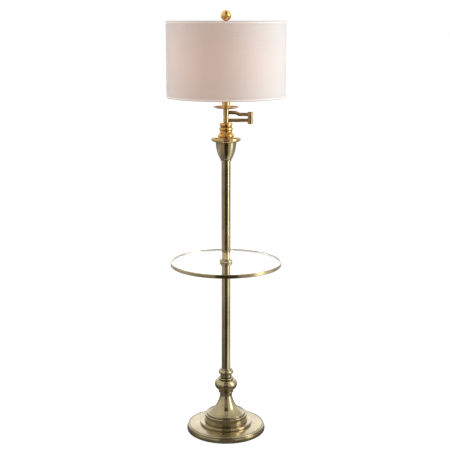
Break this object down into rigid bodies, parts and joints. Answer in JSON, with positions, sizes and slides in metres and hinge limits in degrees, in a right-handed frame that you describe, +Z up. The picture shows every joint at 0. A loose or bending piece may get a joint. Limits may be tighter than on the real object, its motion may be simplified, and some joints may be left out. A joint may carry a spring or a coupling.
{
  "type": "floor lamp with table",
  "caption": "Floor lamp with a turned brass column, round glass table, folding swing arm and linen drum shade.",
  "frame": {"origin": "middle of the foot's underside, on the column's axis, at floor level", "axes": "+Z up along the column, +X along the folded swing arm towards its elbow"},
  "size_m": [0.4149, 0.415, 1.524],
  "materials": {
    "antique_brass": "satin antique brass",
    "polished_brass": "polished warm brass",
    "harp_brass": "plain plated brass",
    "plated_steel": "zinc plated",
    "bulb_metal": "bright",
    "cast_weight": "rough casting",
    "felt": "felt",
    "black_rubber": "matt",
    "clear_rubber": "translucent",
    "clear_glass": "polished",
    "frosted_glass": "frosted inside",
    "black_plastic": "moulded",
    "linen": "off-white linen weave",
    "linen_tape": "folded hem tape",
    "white_styrene": "smooth white",
    "white_wire": "white enamel"
  },
  "bodies": {
    "stand": {"felt_pad": "felt", "base_cover": "plated_steel", "base_weight": "cast_weight", "base_washer": "plated_steel", "lock_nut": "plated_steel", "base_disc": "antique_brass", "cord_gland": "black_rubber", "base_drum": "antique_brass", "base_flare": "antique_brass", "spindle_ball": "antique_brass", "lower_collar": "antique_brass", "lower_tube": "antique_brass", "upper_tube": "antique_brass", "tube_plugs": "plated_steel", "lower_pipe": "plated_steel", "upper_pipe": "plated_steel", "pipe_coupler": "plated_steel", "table_flange": "antique_brass", "glass_gaskets": "clear_rubber", "glass_top": "clear_glass", "table_rim": "antique_brass", "table_collar": "antique_brass", "trumpet_cup": "antique_brass", "cap": "polished_brass", "arm_pivot": "polished_brass"},
    "first_arm": {"lower_hub": "antique_brass", "lower_knuckle": "antique_brass", "lower_arm": "antique_brass", "elbow_pin": "antique_brass", "elbow_washer": "black_rubber"},
    "second_arm": {"socket_post": "antique_brass", "upper_knuckle": "antique_brass", "upper_arm": "antique_brass", "drip_pan": "polished_brass", "candle_cup": "polished_brass", "harp_saddle": "harp_brass", "socket_base_cup": "harp_brass", "socket_shell": "harp_brass", "socket_insulator": "black_plastic", "screw_shell": "harp_brass", "centre_contact": "harp_brass", "bulb_base": "bulb_metal", "bulb_glass": "frosted_glass", "harp": "harp_brass", "harp_stud": "harp_brass", "shade_fabric": "linen", "shade_liner": "white_styrene", "shade_trim_bottom": "linen_tape", "shade_trim_top": "linen_tape", "shade_ring_bottom": "white_wire", "shade_ring_top": "white_wire", "shade_spider": "white_wire"},
    "key": {"switch_key": "black_plastic"},
    "left_sleeve": {"harp_sleeve_left": "harp_brass"},
    "right_sleeve": {"harp_sleeve_right": "harp_brass"},
    "finial_nut": {"finial": "polished_brass"}
  },
  "joints": [
    {"name": "first_arm_swing", "type": "hinge", "parent": "stand", "child": "first_arm", "pos_m": [0, 0, 1.1493], "axis": [0, 0, 1], "range_deg": [-170, 170]},
    {"name": "second_arm_swing", "type": "hinge", "parent": "first_arm", "child": "second_arm", "pos_m": [0.085, 0, 1.1673], "axis": [0, 0, 1], "range_deg": [-180, 180]},
    {"name": "switch_key_turn", "type": "hinge", "parent": "second_arm", "child": "key", "pos_m": [0, -0.036, 1.2382], "axis": [0, -1, 0], "continuous": true},
    {"name": "left_sleeve_slide", "type": "slide", "parent": "second_arm", "child": "left_sleeve", "axis": [0, 0, 1], "range_m": [0, 0.01]},
    {"name": "right_sleeve_slide", "type": "slide", "parent": "second_arm", "child": "right_sleeve", "axis": [0, 0, 1], "range_m": [0, 0.01]},
    {"name": "finial_turn", "type": "hinge", "parent": "second_arm", "child": "finial_nut", "pos_m": [0, 0, 1.5017], "axis": [0, 0, 1], "continuous": true}
  ]
}
